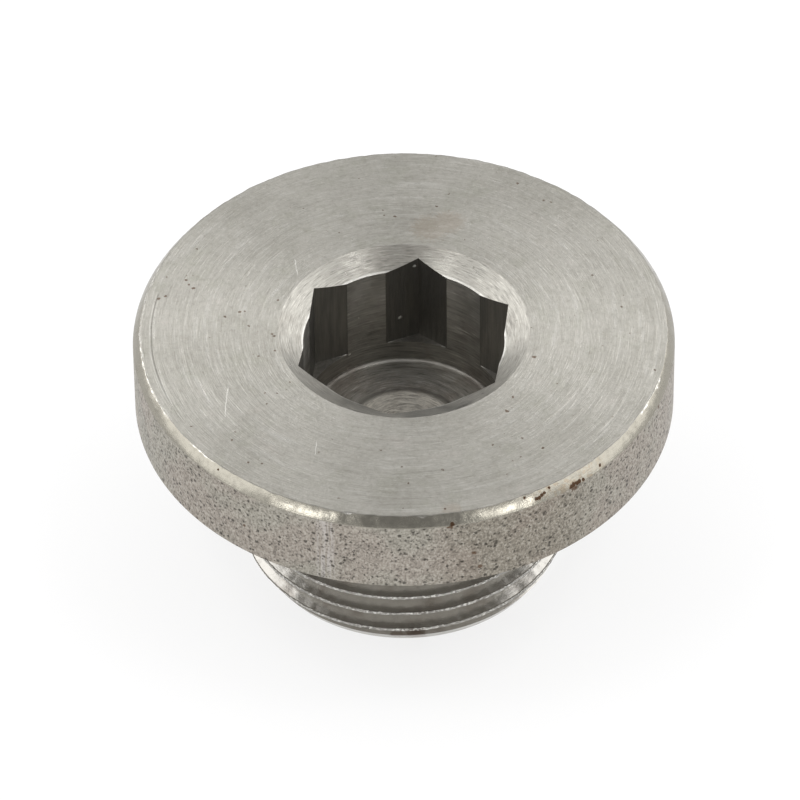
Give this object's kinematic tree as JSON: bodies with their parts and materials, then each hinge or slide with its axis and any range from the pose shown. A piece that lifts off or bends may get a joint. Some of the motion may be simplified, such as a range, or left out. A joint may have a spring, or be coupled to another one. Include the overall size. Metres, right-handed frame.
{
  "type": "hex socket plug",
  "caption": "Turned steel screw plug with a round collar head, an internal hexagon socket and a fine metric thread on a short shank.",
  "frame": {"origin": "centre of the shank's end face, on which the plug stands", "axes": "+Z along the thread's axis, out of the socket's mouth; +Y towards a corner of the hexagon"},
  "size_m": [0.036, 0.036, 0.019],
  "materials": {
    "turned_steel": "turned, satin, with fine concentric tool marks, a rolled skin on the collar's side and specks of rust"
  },
  "bodies": {
    "root": {"plug_body": "turned_steel"}
  },
  "joints": []
}
